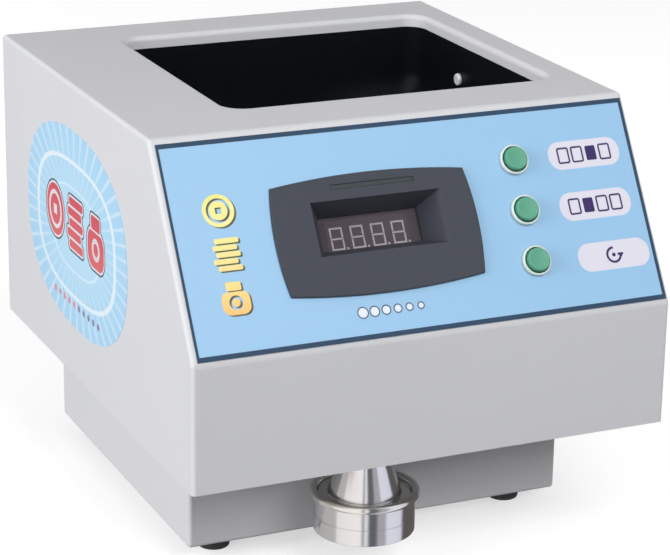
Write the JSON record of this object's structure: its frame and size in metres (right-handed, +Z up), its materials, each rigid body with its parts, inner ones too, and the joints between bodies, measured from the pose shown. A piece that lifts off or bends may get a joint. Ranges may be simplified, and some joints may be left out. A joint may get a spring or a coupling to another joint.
{
  "type": "coin counter",
  "caption": "Desktop coin counter: open top hopper over a spinning disc, sloping panel with display and push buttons, turned outlet spout with a bag ring, stepped base on feet.",
  "frame": {"origin": "on the floor, at the middle of the bounding box in plan", "axes": "+Z up, the sloping display panel faces -Y, +X to the right of a person who faces the display"},
  "size_m": [0.3, 0.34, 0.2655],
  "materials": {
    "paint": "light grey satin paint",
    "zinc": "zinc plated",
    "steel": "ground steel",
    "aluminium": "fine turned",
    "ring_chrome": "bright plated",
    "rubber": "matt",
    "black_plastic": "fine texture",
    "bezel_plastic": "fine texture",
    "panel_film": "printed film, satin",
    "green_plastic": "satin",
    "silver_plastic": "metallised",
    "led": "diffusing segments",
    "board": "solder mask",
    "laminate": "varnished laminations",
    "window": "smoked"
  },
  "bodies": {
    "chassis": {"cover": "paint", "deck_plate": "zinc", "base_pan": "paint", "foot_front_left": "rubber", "foot_front_right": "rubber", "foot_rear_left": "rubber", "foot_rear_right": "rubber", "cover_screw_1": "zinc", "cover_screw_2": "zinc", "cover_screw_3": "zinc", "cover_screw_4": "zinc", "front_label": "panel_film", "display_bezel": "bezel_plastic", "display_window": "window", "led_module": "led", "display_board": "board", "button_body_1": "silver_plastic", "button_nut_1": "zinc", "button_body_2": "silver_plastic", "button_nut_2": "zinc", "button_body_3": "silver_plastic", "button_nut_3": "zinc", "coin_spout": "aluminium", "spout_nut": "aluminium", "hopper_liner": "black_plastic", "liner_screw_1": "steel", "liner_screw_2": "steel", "coin_bed": "aluminium", "bed_pillar_1": "steel", "bed_pillar_2": "steel", "bed_pillar_3": "steel", "bed_pillar_4": "steel", "bearing_housing": "aluminium", "lower_bearing": "steel", "upper_bearing": "steel", "drive_belt": "rubber", "drive_motor": "steel", "coin_chute": "steel", "count_sensor": "black_plastic", "guide_pin": "zinc", "stop_solenoid": "laminate", "power_inlet": "black_plastic", "switch_frame": "black_plastic", "fuse_holder": "black_plastic", "control_board": "board", "transformer": "laminate"},
    "disc_rotor": {"counting_disc": "steel", "disc_cone": "aluminium", "disc_shaft": "steel", "driven_pulley": "aluminium"},
    "motor_rotor": {"motor_shaft": "steel", "motor_pulley": "aluminium"},
    "button_1": {"button_cap_1": "green_plastic"},
    "button_2": {"button_cap_2": "green_plastic"},
    "button_3": {"button_cap_3": "green_plastic"},
    "bag_ring": {"bag_ring": "ring_chrome"},
    "rocker": {"switch_rocker": "black_plastic"},
    "fuse_cap": {"fuse_cap": "black_plastic"},
    "guide_arm": {"guide_arm": "steel"},
    "stop_plunger": {"stop_plunger": "steel"}
  },
  "joints": [
    {"name": "disc_spin", "type": "hinge", "parent": "chassis", "child": "disc_rotor", "pos_m": [0.023, 0.0377, 0.15], "axis": [0, 0, 1], "continuous": true},
    {"name": "motor_spin", "type": "hinge", "parent": "chassis", "child": "motor_rotor", "pos_m": [-0.095, 0.075, 0.08], "axis": [0, 0, 1], "continuous": true},
    {"name": "button_1_press", "type": "slide", "parent": "chassis", "child": "button_1", "axis": [0, 0.8506, -0.5258], "range_m": [0, 0.003], "stiffness_N_per_m": 400, "springref_m": -0.002},
    {"name": "button_2_press", "type": "slide", "parent": "chassis", "child": "button_2", "axis": [0, 0.8506, -0.5258], "range_m": [0, 0.003], "stiffness_N_per_m": 400, "springref_m": -0.002},
    {"name": "button_3_press", "type": "slide", "parent": "chassis", "child": "button_3", "axis": [0, 0.8506, -0.5258], "range_m": [0, 0.003], "stiffness_N_per_m": 400, "springref_m": -0.002},
    {"name": "bag_ring_lift", "type": "slide", "parent": "chassis", "child": "bag_ring", "axis": [0, 0, 1], "range_m": [0, 0.026]},
    {"name": "rocker_tilt", "type": "hinge", "parent": "chassis", "child": "rocker", "pos_m": [0.02, 0.1433, 0.045], "axis": [1, 0, 0], "range_deg": [-20, 0]},
    {"name": "fuse_cap_turn", "type": "hinge", "parent": "chassis", "child": "fuse_cap", "pos_m": [-0.015, 0.1423, 0.045], "axis": [0, 1, 0], "range_deg": [0, 60]},
    {"name": "guide_arm_swing", "type": "hinge", "parent": "chassis", "child": "guide_arm", "pos_m": [-0.058, -0.026, 0.158], "axis": [0, 0, 1], "range_deg": [-6, 0], "stiffness_Nm_per_rad": 0.05, "springref_deg": 11.46},
    {"name": "stop_plunger_push", "type": "slide", "parent": "chassis", "child": "stop_plunger", "axis": [-1, 0, 0], "range_m": [0, 0.009], "stiffness_N_per_m": 60, "springref_m": -0.004}
  ],
  "couplings": [
    {"joint": "motor_spin", "follows": "disc_spin", "ratio": 3.1667}
  ]
}
